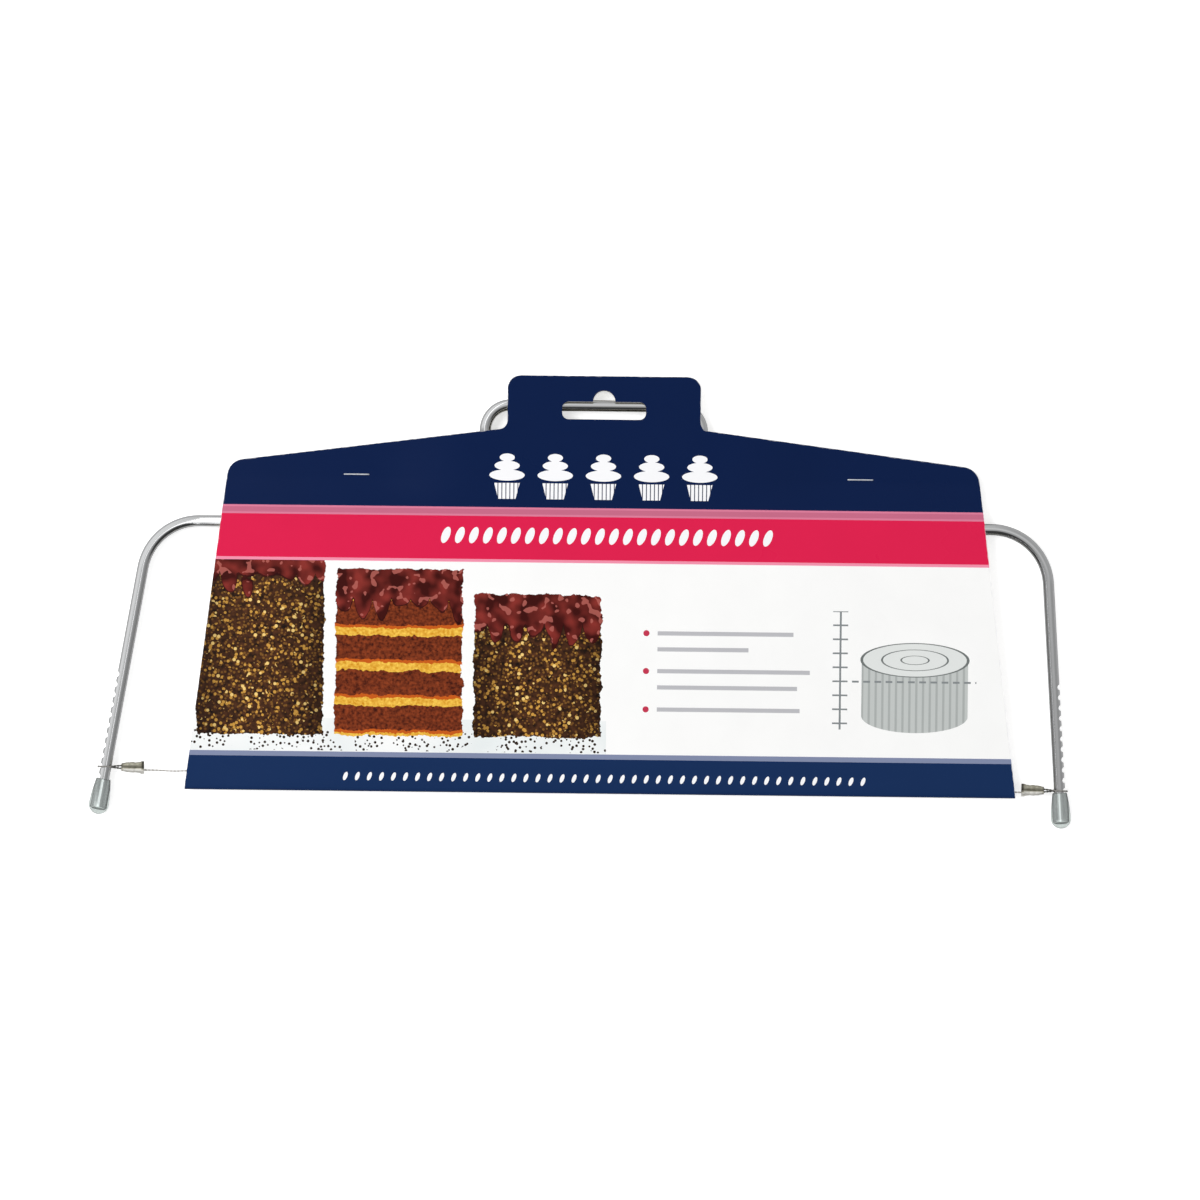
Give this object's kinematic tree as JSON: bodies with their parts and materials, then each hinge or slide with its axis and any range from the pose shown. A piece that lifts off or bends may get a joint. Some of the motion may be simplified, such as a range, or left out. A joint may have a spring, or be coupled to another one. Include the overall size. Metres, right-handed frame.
{
  "type": "cake leveler",
  "caption": "Bent steel rod cake leveler with notched legs, a cutting wire looped round both legs, clear foot caps and a stapled card sleeve with a hang slot.",
  "frame": {"origin": "middle of the box around the whole object, on the plane that it lies on", "axes": "+X along the cutting wire towards the right leg as seen from the card's front, +Y from the feet towards the handle, +Z out of the front of the card"},
  "size_m": [0.351, 0.1598, 0.0072],
  "materials": {
    "chromed_steel_rod": "bright chrome plate over steel wire rod",
    "clear_vinyl_cap": "clear, faintly green dipped vinyl",
    "cutting_wire_steel": "fine serrated stainless wire",
    "nickel_ferrule": "dull nickel on crimped brass",
    "printed_card": "coated card, printed and cut",
    "galvanised_staple": "bright galvanised staple wire"
  },
  "bodies": {
    "frame": {"frame_rod": "chromed_steel_rod", "card_sleeve": "printed_card", "left_staple": "galvanised_staple", "right_staple": "galvanised_staple"},
    "left_wire_end": {"left_wire_loop": "cutting_wire_steel", "left_ferrule": "nickel_ferrule", "cutting_wire": "cutting_wire_steel"},
    "right_wire_end": {"right_wire_loop": "cutting_wire_steel", "right_ferrule": "nickel_ferrule"},
    "left_cap": {"left_foot_cap": "clear_vinyl_cap"},
    "right_cap": {"right_foot_cap": "clear_vinyl_cap"}
  },
  "joints": [
    {"name": "left_wire_slide", "type": "slide", "parent": "frame", "child": "left_wire_end", "axis": [0.1719, 0.9851, 0], "range_m": [0, 0.0333], "deforming": ["cutting_wire"]},
    {"name": "right_wire_slide", "type": "slide", "parent": "frame", "child": "right_wire_end", "axis": [-0.0645, 0.9979, 0], "range_m": [0, 0.0333]},
    {"name": "left_cap_pull", "type": "slide", "parent": "frame", "child": "left_cap", "axis": [-0.1719, -0.9851, 0], "range_m": [0, 0.012]},
    {"name": "right_cap_pull", "type": "slide", "parent": "frame", "child": "right_cap", "axis": [0.0645, -0.9979, 0], "range_m": [0, 0.012]}
  ],
  "couplings": [
    {"joint": "right_wire_slide", "follows": "left_wire_slide", "ratio": 0.98717}
  ]
}
